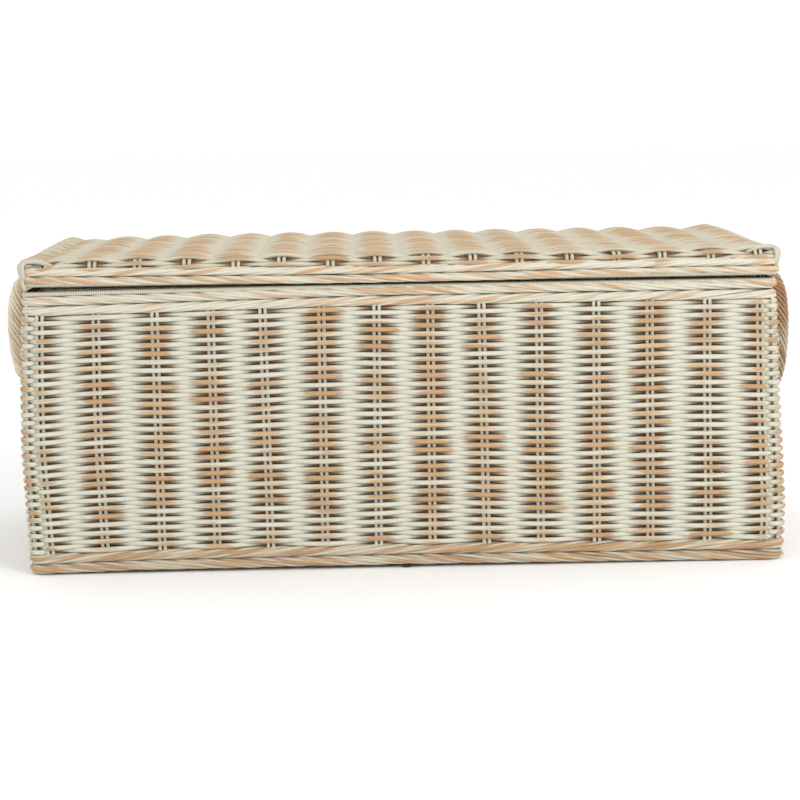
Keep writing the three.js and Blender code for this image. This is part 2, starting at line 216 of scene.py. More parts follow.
def woven(name, bundles, finish, body, stands_for):
    """One piece from several swept bundles, riding on a CAD body in place of CAD nodes."""
    shift = np.cumsum([0] + [len(b["points"]) for b in bundles])
    points = np.concatenate([b["points"] for b in bundles]) * MM
    faces = [[i + s for i in f] for b, s in zip(bundles, shift) for f in b["faces"]]
    mesh = bpy.data.meshes.new(name)
    mesh.from_pydata(points, [], faces)
    mesh.shade_smooth()
    for key, kind, field in (
        ("proud", "FLOAT", "value"),
        ("tone", "FLOAT", "value"),
        ("grain", "FLOAT_VECTOR", "vector"),
    ):
        values = np.concatenate([b[key] for b in bundles]).astype(np.float32)
        mesh.attributes.new(key, kind, "POINT").data.foreach_set(field, values.ravel())
    mesh.materials.append(finish)
    piece = bpy.data.objects.new(name, mesh)
    bpy.context.scene.collection.objects.link(piece)
    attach(piece, body)
    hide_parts(*stands_for)
    print(f"{name}: {len(faces)} faces")


print("section of a 3 mm cane:", round_section(3.0).shape, "points")

# %% [markdown]
# ## Node materials
# Colours are written as they look on a screen and made linear in one place. One small function adds
# a node, sets it and links it, so a material reads from top to bottom. Patterns are sized in
# millimetres and turned into a noise scale where they are used.


# %% Colour and node helpers
def colour(code):
    parts = [int(code[i : i + 2], 16) / 255 for i in (1, 3, 5)]
    linear = [c / 12.92 if c <= 0.04045 else ((c + 0.055) / 1.055) ** 2.4 for c in parts]
    return (*linear, 1.0)


def add(tree, kind, inputs=(), **settings):
    """A node with these settings; inputs pairs a socket with a value or with another socket."""
    node = tree.nodes.new(kind)
    for key, value in settings.items():
        setattr(node, key, value)
    for key, value in dict(inputs).items():
        if isinstance(value, bpy.types.NodeSocket):
            tree.links.new(value, node.inputs[key])
        else:
            node.inputs[key].default_value = value
    return node


def surface(name, inputs):
    """A new material with one Principled shader, and the tree to add to."""
    material = bpy.data.materials.new(name)
    material.use_nodes = True
    tree = material.node_tree
    tree.nodes.clear()
    shader = add(tree, "ShaderNodeBsdfPrincipled", inputs)
    output = add(tree, "ShaderNodeOutputMaterial")
    tree.links.new(shader.outputs["BSDF"], output.inputs["Surface"])
    return material, tree, shader


def scale_of(size):
    """Noise scale for a pattern this many mm across, on a piece measured in metres."""
    return 1 / (size * MM)


print("white made linear:", colour("#ffffff"))


# %% [markdown]
# ## Whitewashed rattan
# Round rattan peel is a warm peach tan with long fibres. The limewash is a thin matt cream coat. It
# stays in the hollows, is rubbed through where a cane stands proud, and hardly reaches the deep
# side of the weave, which stays bare brown and is darkened further as painted shade. The inside of
# the trunk was never washed and is plain tan peel. It could be painted by hand, but a rule follows
# every cane: the height `proud` that each vertex carries decides how far the coat is gone and how
# dark the painted shade on the deep side is, and noise along the grain breaks up its edge.


# %% Whitewashed rattan
def washed_rattan(name, colours, wear):
    """Peel with fibres under a matt coat, gone where the height passes from wear[0] to wear[1]."""
    wash, shadow, bare, warm, deep_peel_and_shade = colours
    wear_from, wear_to = wear
    material, tree, shader = surface(name, {"Roughness": 0.62, "IOR": 1.5})
    proud = add(tree, "ShaderNodeAttribute", attribute_name="proud").outputs["Fac"]
    tone = add(tree, "ShaderNodeAttribute", attribute_name="tone").outputs["Fac"]
    grain = add(tree, "ShaderNodeAttribute", attribute_name="grain").outputs["Vector"]

    def along_grain(length, width, detail):
        """Noise in streaks this long along the cane and this wide across it, in mm."""
        stretch = (1 / length, 1 / width, 1 / width)
        scaled = add(tree, "ShaderNodeVectorMath", {0: grain, 1: stretch}, operation="MULTIPLY")
        noise = {"Vector": scaled.outputs[0], "Scale": 1.0, "Detail": detail}
        return add(tree, "ShaderNodeTexNoise", noise).outputs["Fac"]

    patch = along_grain(70, 9, 2)  # where a hand rubbed the coat, a few centimetres at a time
    fibre = along_grain(14, 0.7, 3)  # the long fibres in the peel
    place = add(tree, "ShaderNodeTexCoord").outputs["Object"]
    # Whole areas, a hand or two wide, wear more or less than their neighbours.
    area = add(tree, "ShaderNodeTexNoise", {"Vector": place, "Scale": scale_of(200), "Detail": 2.0})
    worn = proud
    for cause, weight in ((patch, 11.0), (tone, 2.5), (fibre, 1.6), (area.outputs["Fac"], 6.0)):
        terms = {0: cause, 1: weight, 2: worn}
        worn = add(tree, "ShaderNodeMath", terms, operation="MULTIPLY_ADD").outputs[0]

    coat = {0: fibre, 6: colour(shadow), 7: colour(wash)}
    skin = add(tree, "ShaderNodeMix", coat, data_type="RGBA").outputs[2]
    peel = {0: tone, 6: colour(bare), 7: colour(warm)}
    wood = add(tree, "ShaderNodeMix", peel, data_type="RGBA").outputs[2]
    for height, start, stop, layer in (
        (worn, wear_from, wear_to, wood),  # rubbed through on the proud side
        (proud, 0.6, -3.0, colour(deep_peel_and_shade)),  # hardly coated on the deep side, and darkened there as painted shade
        (proud, -3.5, -6.5, wood),  # never coated inside the trunk
    ):
        reach = {"Value": height, "From Min": start, "From Max": stop}
        share = add(tree, "ShaderNodeMapRange", reach, interpolation_type="SMOOTHSTEP")
        layers = {0: share.outputs["Result"], 6: skin, 7: layer}
        skin = add(tree, "ShaderNodeMix", layers, data_type="RGBA").outputs[2]
    tree.links.new(skin, shader.inputs["Base Color"])
    relief = add(tree, "ShaderNodeBump", {"Height": fibre, "Strength": 0.5, "Distance": 0.0003})
    tree.links.new(relief.outputs["Normal"], shader.inputs["Normal"])
    return material


# %% [markdown]
# ## One finish in seven states: wear, painted shade and painted light
# The coat isn't the same everywhere. The walls are evenly washed, the edges are a little brighter
# and less rubbed, the foot border is painted darker and browner as painted shade near the floor,
# and the seat is rubbed by sitting and its coat painted darker as painted shade on the lid's top.
# The right handle is nearly bare, and the left one is pale and brightened further as painted
# light, because the lamp leaves that end in shade. The fine binding cane is bright, with painted
# shade for the dark lines between its turns. Each finish is given its coat, the coat's shade, two
# colours of bare peel, the deep side's bare brown with its painted shade, and the two heights
# between which the coat is gone.

# %% The seven finishes
rattan = washed_rattan(
    "Whitewashed rattan",
    ("#d9dacd", "#c0b9a3", "#c9aa83", "#b58f67", "#84603a"),
    (16.9, 19.5),
)
edge_rattan = washed_rattan(
    "Whitewashed rattan of the edges",
    ("#dedccd", "#c5bda8", "#d2b18b", "#c0976d", "#6e4d31"),
    (17.4, 20.4),
)
# Painted shade: a darker, browner copy of the wall finish stands for the shade near the floor.
floor_shaded_rattan = washed_rattan(
    "Whitewashed rattan with painted shade near the floor",
    ("#d3cfbe", "#b6a98f", "#c2a27a", "#ae8862", "#5f4129"),
    (16.3, 19.3),
)
# Rubbed more by sitting, and its coat painted darker as painted shade on the top of the lid, which the
# sky lights most.
seat_rattan_worn_and_shaded = washed_rattan(
    "Whitewashed rattan rubbed by sitting",
    ("#cfccba", "#bbaf97", "#c3a983", "#b18e68", "#84603a"),
    (15.7, 19.7),
)
bare_grip = washed_rattan(
    "Rubbed rattan of the right handle",
    ("#c3bda8", "#9d8d73", "#ab845f", "#926a4a", "#553822"),
    (11.0, 14.6),
)
# Paler coat, brightened further as painted light, because the lamp leaves the left end in shade.
pale_grip_painted_light = washed_rattan(
    "Paler rattan of the left handle",
    ("#f2eee0", "#dbd1ba", "#dfc19b", "#cba880", "#7a5736"),
    (14.6, 18.2),
)
# Its dark deep colour is painted shade, mostly in the grooves between the turns.
binding = washed_rattan(
    "Fine binding cane",
    ("#dcdaca", "#c6bda4", "#cfba90", "#bea378", "#4a3622"),
    (17.5, 21.0),
)
finishes = (rattan, edge_rattan, floor_shaded_rattan, seat_rattan_worn_and_shaded, bare_grip, pale_grip_painted_light, binding)
print("rattan finishes:", ", ".join(finish.name for finish in finishes))


# %% [markdown]
# ## Stations round the trunk
# The stakes stand in pairs, fourteen on each long side and seven on each end, with one stake in each
# corner. A weaver changes side at every station, and the count of stations is even, so alternate
# rows interlock all the way round.

# %% Stations
WEAVE_INSET = 7.5
CORNER = 7.0
weave_half = rim_half - WEAVE_INSET
starts = side_starts(weave_half, CORNER)
round_trip = starts[-1]
LONG_PITCH = 80.8
SHORT_PITCH = 73.3


def stations_at(sway):
    """Distances of the stations, each pair off its place by up to about `sway`."""
    places = []
    for side in range(4):
        count, pitch = ((14, LONG_PITCH), (7, SHORT_PITCH))[side % 2]
        middle = (starts[side] + starts[side + 1]) / 2
        offsets = (np.arange(count) - (count - 1) / 2) * pitch
        offsets[1:-1] += chance.normal(0, sway, count - 2)
        places += [starts[side], *(middle + offsets)]
    return np.array(places + [round_trip])


low_stations = stations_at(1.6)
high_stations = low_stations + 0.0
lean = chance.normal(0, 1.6, len(low_stations))
is_corner = np.isin(low_stations, starts)
high_stations[~is_corner] += lean[~is_corner]
print("stations:", len(low_stations) - 1, "of which corners:", int(is_corner.sum()) - 1)

# %% [markdown]
# ## The woven walls
# Each weaver is one cane a little over six millimetres thick. It swings half a stake and half a
# cane outwards at one station and as far inwards at the next. A bump map could fake this on a flat
# wall, but the gaps are open and the edge of the wall is seen, so every cane is real. Neighbouring
# rows share the same slow rise and fall, because each one rests on the row under it.

# %% Weavers and stakes of the walls
STAKE_RADIUS = 2.7
STAKE_LEVEL = 1.6  # how proud the brush finds a stake, which also sets how much painted shade its back gets
WEAVER_RADIUS = 3.25
SQUASH = np.array([0.98, 1.12])  # packed canes are pressed a little flat
SWING = 5.8
ROWS = 57
STEPS = 11  # points from one station to the next
SELVEDGE = 40.0  # near the borders the rows run level
row_pitch = (wall_high - wall_low) / ROWS


def ripple(distance, z):
    """Slow rise and fall of the rows, in mm."""
    turn = 2 * np.pi * distance / round_trip
    return 1.1 * np.sin(6 * turn + z / 130) + 0.8 * np.sin(11 * turn - z / 90 + 2)


phase = np.arange((len(low_stations) - 1) * STEPS) / STEPS
row = np.arange(ROWS)[:, None]
row_z = wall_low + (row + 0.5) * row_pitch
climb = (row_z - wall_low) / (wall_high - wall_low)
order = np.arange(len(low_stations))
distance = (1 - climb) * np.interp(phase, order, low_stations)
distance = distance + climb * np.interp(phase, order, high_stations)
lap = phase / len(phase) * STEPS  # share of the way round
swing = SWING * np.cos(np.pi * (phase + row)) + wander(lap, 60, 0.14, ROWS)
fade = np.clip(np.minimum(row_z - wall_low, wall_high - row_z) / SELVEDGE, 0, 1)
weaver_z = row_z + fade * ripple(distance, row_z) + wander(lap, 90, 0.07, ROWS)
weaver_radius = WEAVER_RADIUS * (1 + wander(lap, 24, 0.02, ROWS))
weaver_radius = weaver_radius * (1 + chance.normal(0, 0.02, (ROWS, 1)))
flat_point, flat_normal = walk(distance, weave_half, CORNER)
weaver_point = flat_point + flat_normal * (flare(weaver_z) + swing)[..., None]
weaver_path = settle(lift(weaver_point, weaver_z))
weaver_out = lift(flat_normal, 0.0)
print("weaver path:", weaver_path.shape)


def stake_bundle(places, radius):
    """Upright stakes; places is (stakes, 2), the distances at the foot and at the rim."""
    share = np.linspace(-0.02, 1.02, 50)
    z = wall_low + share * (wall_high - wall_low)
    along = places[:, :1] * (1 - share) + places[:, 1:] * share
    point, normal = walk(along, weave_half, CORNER)
    point = point + normal * flare(z)[None, :, None]
    thick = radius * (1 + wander(share * 0.9, 5, 0.03, len(places)))
    path = settle(lift(point, z))
    return sweep(path, lift(normal, 0.0), round_section(thick), np.full(path.shape[:2], STAKE_LEVEL))


PAIR_HALF = 3.85  # from the middle of a pair to the middle of either stake
CORNER_STAKE_RADIUS = 3.1
for side, label in enumerate(("front", "right", "back", "left")):
    first, last = np.flatnonzero(is_corner)[side : side + 2]
    pick = np.arange(first * STEPS, last * STEPS + 1) % len(phase)
    weavers = sweep(
        weaver_path[:, pick],
        weaver_out[:, pick],
        round_section(weaver_radius[:, pick]) * SQUASH,
        swing[:, pick],
    )
    pair = np.stack([low_stations, high_stations], -1)[first + 1 : last]
    pairs = stake_bundle(np.concatenate([pair - PAIR_HALF, pair + PAIR_HALF]), STAKE_RADIUS)
    corner = stake_bundle(np.full((1, 2), low_stations[first]), CORNER_STAKE_RADIUS)
    woven(
        f"woven_wall_{label}",
        [weavers, pairs, corner],
        rattan,
        "trunk",
        [f"wall_{label}"],
    )


# %% [markdown]
# ## Rope borders
# The stakes are bent over and laid round each edge as two ropes that twist opposite ways, so their
# canes meet as arrowheads. Each rope is seven canes on a flattened ring. A screw modifier can't
# close a twist round four corners, so the twist is worked out along the same walk as the walls.


# %% Rope borders
BORDER_CORNER = 9.0
BORDER_DEPTH = 22.0
ROPE_CANE = 2.8  # radius
ROPE_CANES = 7
ROPE_TURNS = 12
ROPE_OVERLAP = 0.3  # the two ropes press into each other
ROPE_STEP = 6.5
ROPE_LEVEL = 1.6
ROPE_RELIEF = 4.0


def rope(half, z_low, z_high, hand, bend):
    """One closed rope of twisted canes with its outer face on the outline."""
    total = side_starts(half - BORDER_DEPTH / 2, BORDER_CORNER)[-1]
    share = np.arange(round(total / ROPE_STEP)) / round(total / ROPE_STEP)
    point, normal = walk(share * total, half - BORDER_DEPTH / 2, BORDER_CORNER)
    start = np.arange(ROPE_CANES)[:, None] / ROPE_CANES
    uneven = wander(share, 30, 0.10, ROPE_CANES)
    angle = hand * 2 * np.pi * (ROPE_TURNS * share + start) + uneven
    flatten = np.sign(np.cos(angle)) * np.abs(np.cos(angle)) ** 0.75
    out = (BORDER_DEPTH / 2 - ROPE_CANE) * flatten + wander(share, 60, 0.25, ROPE_CANES)
    z = (z_low + z_high) / 2 + ((z_high - z_low) / 2 - ROPE_CANE) * np.sin(angle)
    path = bend(lift(point + normal * out[..., None], z))
    outward = lift(normal * np.cos(angle)[..., None], np.sin(angle))
    uneven = chance.normal(0, 0.05, (ROPE_CANES, 1)) + wander(share, 40, 0.04, ROPE_CANES)
    level = ROPE_LEVEL + ROPE_RELIEF * np.cos(angle)
    return sweep(path, outward, round_section(ROPE_CANE * (1 + uneven)), level, closed=True)


SIDES = ("front", "right", "back", "left")


def border(name, half, heights, upper_hand, finish, body, bend):
    """Two ropes of opposite twist, one on the other, in place of the four CAD braids."""
    z_low, z_high = heights
    middle = (z_low + z_high) / 2
    upper = rope(half, middle - ROPE_OVERLAP, z_high, upper_hand, bend)
    lower = rope(half, z_low, middle + ROPE_OVERLAP, -upper_hand, bend)
    braids = [f"{name}_braid_{side}" for side in SIDES]
    woven(f"{name}_border", [upper, lower], finish, body, braids)


BASE_DROP = 2.0  # the base border hangs this far below its CAD braid
top_z = (low("top_braid_front")[2], high("top_braid_front")[2])
base_z = (low("base_braid_front")[2] - BASE_DROP, high("base_braid_front")[2])
lid_z = (low("lid_braid_front")[2], high("lid_braid_front")[2])
lid_front, lid_back = low("lid_braid_front")[1], high("lid_braid_back")[1]
lid_half = np.array([high("lid_braid_right")[0], (lid_back - lid_front) / 2])
lid_centre = (lid_back + lid_front) / 2
print("lid outline", lid_half, "centre", round(lid_centre, 1))


# %% [markdown]
# ## How the lid's border lies
# The lid sits a touch to the left and sags towards the middle of the front, and the lower rope is
# pinched upwards near the right, where the gap to the trunk is widest.

# %% The three borders
LID_OFF = 0.5  # the lid sits this far to the left on the trunk
PINCH_DEPTH = 13.0  # only the lowest part of the border is pinched


def lid_bulge(x, y):
    """The right edge of the lid stands out a little behind its front corner."""
    return 4.0 * smooth((x - 400) / 150) * smooth((y + 200) / 150)


def settle_lid(path):
    """The lid's border sags a little towards the middle of the front."""
    x, y, z = path[..., 0], path[..., 1], path[..., 2]
    front = np.clip(0.5 - y / 490, 0, 1)
    sag = np.interp(x, (-550, -40, 540), (-1.0, -5.2, -1.8))
    lower = np.clip((lid_z[0] + PINCH_DEPTH - z) / PINCH_DEPTH, 0, 1)
    pinch = np.interp(x, (-550, -450, -150, 230, 330, 430, 500), (1.5, 0.5, 0, 0, 4, 4.5, 0.5))
    rise = front * (sag + lower * pinch)
    return np.stack([x + lid_bulge(x, y) - LID_OFF, y + lid_centre, z + rise], -1)


border("top", rim_half - 0.3, top_z, -1, edge_rattan, "trunk", settle)
border("base", foot_half - 0.5, base_z, 1, floor_shaded_rattan, "trunk", settle)
border("lid", lid_half + 1.0, lid_z, 1, edge_rattan, "lid", settle_lid)

# %% [markdown]
# ## The woven lid
# The lid is woven like the walls, with the stakes running front to back. Its mat is flat on top and
# rolls over at the edges, where stakes and weavers go down behind the lid's own border. Bending a
# finished flat mat would stretch its canes at the edges, so each point is placed straight on the
# rolled profile, which both directions share.

# %% Rolled mat of the lid
ROLL_FRONT = 7.0
ROLL_END = 4.5
TUCK = 0.35  # how far the ends of the rows lean in, per mm they go down
MAT_OVER = 1.5  # the weave stands this far over the CAD mat
lid_top = high("lid_mat")[2] - SWING - WEAVER_RADIUS + MAT_OVER
flat_x = lid_half[0] - WEAVER_RADIUS - 1.1 - ROLL_END
flat_y = lid_half[1] - WEAVE_INSET - ROLL_FRONT


def rolled(place, flat, roll, tuck):
    """Position, drop and tilt at this distance from the middle of a profile that rolls over."""
    past = np.sign(place) * np.clip(np.abs(place) - flat, 0, None)
    tilt = np.clip(past / roll, -np.pi / 2, np.pi / 2)
    below = np.clip(np.abs(past) - roll * np.pi / 2, 0, None)
    position = np.clip(place, -flat, flat) + roll * np.sin(tilt) - np.sign(place) * tuck * below
    return position, roll * (1 - np.cos(tilt)) + below, tilt


def corner_sag(x, y):
    """The left edge of the mat hangs lower towards its front corner."""
    return 4.5 * smooth((-x - 500) / 40) * smooth((150 - y) / 300)


def mat_point(u, v, height):
    """A point of the lid's mat and its outward direction, `height` above the weave's middle."""
    x, drop_x, tilt_x = rolled(u, flat_x, ROLL_END, TUCK)
    y, drop_y, tilt_y = rolled(v, flat_y, ROLL_FRONT, 0.0)
    upward = np.cos(tilt_x) * np.cos(tilt_y) + 0.05  # never nothing where both tilt fully
    outward = unit(np.stack(np.broadcast_arrays(np.sin(tilt_x), np.sin(tilt_y), upward), -1))
    crown = 2.4 * smooth((y + 120) / 300) * smooth((x + 480) / 200)
    crown = crown + 3.5 * smooth((x - 500) / 40) * smooth((y + 50) / 250)
    pulled_down = 6.5 * smooth((-x - 485) / 55) + corner_sag(x, y)
    z = lid_top + crown - pulled_down - drop_x - drop_y
    x = x + lid_bulge(x, y) - LID_OFF
    middle = np.stack(np.broadcast_arrays(x, y + lid_centre, z), -1)
    return middle + outward * np.asarray(height)[..., None], outward


print("flat part of the lid:", round(2 * flat_x), "by", round(2 * flat_y), "mm")


# %% Canes of the lid
LID_STATIONS = 16
LID_PITCH = 69.7
LID_ROW_PITCH = 6.1
LID_STEPS = 8  # points from one station to the next
END_TUCK = 14.0  # the rows go on this far below the roll
ROWS_DOWN = 17.0  # the outermost rows lie this far past the flat part
STAKES_DOWN = 20.0  # and the stakes end this far past it
lid_places = (np.arange(LID_STATIONS) - (LID_STATIONS - 1) / 2) * LID_PITCH
lid_places[1:-1] += chance.normal(0, 1.2, LID_STATIONS - 2)
edge_x = flat_x + ROLL_END * np.pi / 2 + END_TUCK
lid_places = np.concatenate([[-edge_x], lid_places, [edge_x]])
lid_phase = np.arange((len(lid_places) - 1) * LID_STEPS + 1) / LID_STEPS
reach_y = flat_y + ROWS_DOWN
lid_rows = round(2 * reach_y / LID_ROW_PITCH)
row = np.arange(lid_rows)[:, None]
share = lid_phase / lid_phase[-1]
u = np.interp(lid_phase, np.arange(len(lid_places)), lid_places) + 0 * row
v = -reach_y + (row + 0.5) * 2 * reach_y / lid_rows
v = v + 1.6 * np.sin(u / 130 + v / 70) + 0.9 * np.sin(u / 57 - v / 45)
v = v + wander(share * 0.95, 60, 0.3, lid_rows)
from_end = lid_phase[-1] / 2 - np.abs(lid_phase - lid_phase[-1] / 2)
at_end = np.clip(from_end + 0.3, 0.4, 1)  # the swing is smaller where a row ends
height = SWING * np.cos(np.pi * (lid_phase + row)) * at_end
lid_path, lid_out = mat_point(u, v, height)
lid_thick = WEAVER_RADIUS * (1 + chance.normal(0, 0.04, (lid_rows, 1)) + 0 * u)
lid_weavers = sweep(lid_path, lid_out, round_section(lid_thick, 7), height)
pairs = lid_places[1:-1]
stake_u = np.concatenate([pairs - PAIR_HALF, pairs + PAIR_HALF])[:, None]
stake_v = np.linspace(-flat_y - STAKES_DOWN, flat_y + STAKES_DOWN, 90)[None]
on_mat = np.zeros((len(stake_u), stake_v.size))
stake_path, stake_out = mat_point(stake_u, stake_v, on_mat)
lid_stakes = sweep(
    stake_path, stake_out, round_section(on_mat + STAKE_RADIUS), on_mat + STAKE_LEVEL
)
woven("lid_weave", [lid_weavers], seat_rattan_worn_and_shaded, "lid", ["lid_mat"])
woven("lid_stakes", [lid_stakes], seat_rattan_worn_and_shaded, "lid", ["lid_mat"])

# %% [markdown]
# ## Turned ends on the lid
# On the left edge the ends of thicker canes are turned down over the mat, about five centimetres
# apart, and each front corner is closed by a small fan of canes. They keep the rows from slipping
# off. All are short canes on one profile, so a few points and an even curve through them will do.


# %% Turned ends
def smooth_path(points, count):
    """An even curve with this many points, through all the given ones (Catmull-Rom)."""
    points = np.asarray(points, float)
    ends = np.concatenate([[2 * points[0] - points[1]], points, [2 * points[-1] - points[-2]]])
    place = np.linspace(0, len(points) - 1 - 1e-9, count)
    knot = np.floor(place).astype(int)
    t = (place - knot)[:, None]
    a, b, c, d = (ends[knot + k] for k in range(4))
    bent = (2 * a - 5 * b + 4 * c - d) * t**2 + (3 * b - a - 3 * c + d) * t**3
    return 0.5 * (2 * b + (c - a) * t + bent)


END_STEPS = 22
END_LEVEL = 3.0


def turned_ends(roots, headings, profile, radius):
    """Short canes over an edge: profile pairs a distance along the heading with a height."""
    line = smooth_path([(along, 0, up) for along, up in profile], END_STEPS)
    heading = headings[:, None]
    path = roots[:, None] + line[None, :, :1] * heading + line[None, :, 2:] * [0, 0, 1]
    tangent = unit(np.gradient(line, axis=0))
    out = -tangent[None, :, 2:] * heading + tangent[None, :, :1] * [0, 0, 1.0]
    thick = radius * (1 + chance.normal(0, 0.06, (len(roots), 1)) + np.zeros(END_STEPS))
    return sweep(path, out, round_section(thick), np.full(path.shape[:2], END_LEVEL))


KNOBS = 10
KNOB_RADIUS = 4.5
KNOB = ((-44, -6.0), (-28, 0.6), (-13, 5.0), (-3.0, 3.2), (0.0, -3.8), (-4.0, -17.0))
end_x = lid_half[0] - LID_OFF
knob_y = lid_centre + np.linspace(-0.90, 0.93, KNOBS) * lid_half[1] + chance.normal(0, 2.0, KNOBS)
knob_roots = np.stack([-end_x + 0 * knob_y, knob_y, lid_top - corner_sag(-end_x, knob_y)], -1)
to_left = np.broadcast_to([-1.0, 0.0, 0.0], knob_roots.shape)
bundles = [turned_ends(knob_roots, to_left, KNOB, KNOB_RADIUS)]
FAN_CANES = 5
FAN_RADIUS = 3.1
FAN_BACK = 11.0  # the canes of a fan spread from a point this far inside the corner
FAN = ((-40, -3.0), (-24, 4.0), (-6, 6.2), (6, 2.5), (8.5, -5.0), (5.0, -18.0))
for side, further_left, drop in ((-1, 3.0, 5.0), (1, LID_OFF, 0.5)):
    turn = np.radians(np.linspace(26, 84, FAN_CANES))
    headings = np.stack([side * np.sin(turn), -np.cos(turn), 0 * turn], -1)
    hub_x = side * (lid_half[0] - FAN_BACK) - further_left
    hub_y = lid_centre - lid_half[1] + FAN_BACK
    hubs = np.tile((hub_x, hub_y, lid_top - drop), (FAN_CANES, 1))
    bundles.append(turned_ends(hubs, headings, FAN, FAN_RADIUS))
woven("lid_turned_ends", bundles, seat_rattan_worn_and_shaded, "lid", ["lid_mat"])

# %% [markdown]
# ## The woven floor
# The floor of the trunk is a plain mat of the same canes, flat and a little thinner. It is seen only
# with the lid up or from below, so its canes keep a regular course.

# %% Floor mat
FLOOR_CANE = 2.6
FLOOR_STAKE = 2.2
FLOOR_STATIONS = 15
FLOOR_STEPS = 6
FLOOR_PITCH = 5.6
FLOOR_SWING = 3.9
FLOOR_PAIR_HALF = 3
floor_low, floor_high = low("base_mat"), high("base_mat")
floor_half = (floor_high - floor_low)[:2] / 2 - 1
floor_z = (floor_low[2] + floor_high[2]) / 2
floor_places = np.linspace(-floor_half[0], floor_half[0], FLOOR_STATIONS)
floor_phase = np.arange((FLOOR_STATIONS - 1) * FLOOR_STEPS + 1) / FLOOR_STEPS
floor_rows = round(2 * floor_half[1] / FLOOR_PITCH)
row = np.arange(floor_rows)[:, None]
floor_u = np.interp(floor_phase, np.arange(FLOOR_STATIONS), floor_places) + 0 * row
floor_v = -floor_half[1] + (row + 0.5) * 2 * floor_half[1] / floor_rows + 0 * floor_u
floor_sway = FLOOR_SWING * np.cos(np.pi * (floor_phase + row))
floor_path = np.stack([floor_u, floor_v, floor_z + floor_sway], -1)
UP = np.array([0.0, 0.0, 1.0])
floor_weavers = sweep(
    floor_path,
    np.broadcast_to(UP, floor_path.shape),
    round_section(0 * floor_u + FLOOR_CANE, 6),
    floor_sway,
)
pairs = floor_places[1:-1]
stakes_x = np.concatenate([pairs - FLOOR_PAIR_HALF, pairs + FLOOR_PAIR_HALF])[:, None]
stakes_y = np.linspace(-floor_half[1], floor_half[1], 12)[None]
stakes_path = np.stack(np.broadcast_arrays(stakes_x, stakes_y, floor_z), -1)
in_middle = np.zeros(stakes_path.shape[:2])
floor_stakes = sweep(
    stakes_path,
    np.broadcast_to(UP, stakes_path.shape),
    round_section(in_middle + FLOOR_STAKE, 6),
    in_middle,
)
woven(
    "woven_floor", [floor_weavers, floor_stakes], rattan, "trunk", ["base_mat"]
)


# %% [markdown]
# ## Wound rims
# The rails where lid and trunk meet are wound with fine cane, and a thinner wound core lies in front
# of each rail and closes the gap to the border. A real winding is one long helix of hundreds of
# turns. Only its ridges show, so each rail is one section swept with a small ripple instead. The
# same ripple lowers the height the finish reads between the turns, so the dark lines there are
# painted shade. The back rails hold the hinges and stay as they are in the CAD.

# %% Wound rims
WINDING = 2.5  # from one turn to the next
STEPS_A_TURN = 4
RIM_CORNER = 8.0
BACK_GAP = 14.0  # the winding ends this far in front of the back corners
WINDING_LEVEL = 2.5
CORE_RADIUS = 4.2
CORE_INSET = 3.5
CORE_TOP = 423.0  # top of the trunk's core
LID_CORE_BOTTOM = 426.3  # the lid's core starts here, so the gap stays open
CORE_LEVEL = 0.8


def blunt_box(width, height, sides=12):
    """Section points of a box with blunt corners, outwards and sideways."""
    turn = 2 * np.pi * (np.arange(sides) + 0.5) / sides
    blunt = np.stack([np.cos(turn), np.sin(turn)], -1)
    return np.sign(blunt) * np.abs(blunt) ** 0.5 * np.array([width, height]) / 2


def wound(half, z, section, level, groove, ridge, bend):
    """A wound rail along three sides; half is its middle line, and the back is left open."""
    corners = side_starts(half, RIM_CORNER)
    first, last = corners[3] - corners[4] + BACK_GAP, corners[2] - BACK_GAP
    count = round((last - first) / WINDING) * STEPS_A_TURN
    distance = np.linspace(first, last, count)[None]
    point, normal = walk(distance, half, RIM_CORNER)
    ripple_phase = 2 * np.pi * np.arange(count) / STEPS_A_TURN + 0.5
    crest = 0.5 + 0.5 * np.cos(ripple_phase)[None]
    section = section * (1 - ridge + ridge * crest[..., None, None])
    # Painted shade: between the turns the height drops, so the finish paints a dark line there.
    level = level + groove * (crest - 1)
    return sweep(bend(lift(point, z)), lift(normal, 0.0), section, level)


def settle_rim(path):
    """The trunk's thin core follows the border sideways, but only drops a little at the left."""
    x, y, z = path[..., 0], path[..., 1], path[..., 2]
    shift_x = 3.5 * smooth((x - 330) / 220) - 8.5 * smooth((-x - 330) / 220)
    front = np.clip(0.5 - y / 490, 0, 1)
    drop = np.interp(x, (-550, -400, -150, 550), (-3.0, -1.5, 0.0, -0.3))
    return np.stack([x + shift_x, y, z + front * drop], -1)


def settle_lid_rim(path):
    return path + np.array([-LID_OFF, lid_centre, 0.0])


def as_drawn(path):
    return path


rail_width = high("top_rail_front")[1] - low("top_rail_front")[1]
top_rail_z = (low("top_rail_front")[2], high("top_rail_front")[2])
lid_rail_z = (low("lid_rail_front")[2], high("lid_rail_front")[2])
core = round_section(CORE_RADIUS, 10)
top_core_half = rim_half - CORE_INSET - CORE_RADIUS
lid_core_half = lid_half - CORE_INSET - CORE_RADIUS
THREE_SIDES = ("front", "right", "left")


def wound_rail(rail, heights):
    """The CAD rail with the ridges of its winding."""
    outline = np.array([high(f"{rail}_right")[0], -low(f"{rail}_front")[1]])
    section = blunt_box(rail_width, heights[1] - heights[0])
    middle = outline - rail_width / 2
    return wound(middle, sum(heights) / 2, section, WINDING_LEVEL, 3.5, 0.06, as_drawn)


def wound_core(half, z, bend):
    """A thinner core, with deeper grooves and darker painted shade in them."""
    return wound(half, z, core, CORE_LEVEL, 6.0, 0.22, bend)


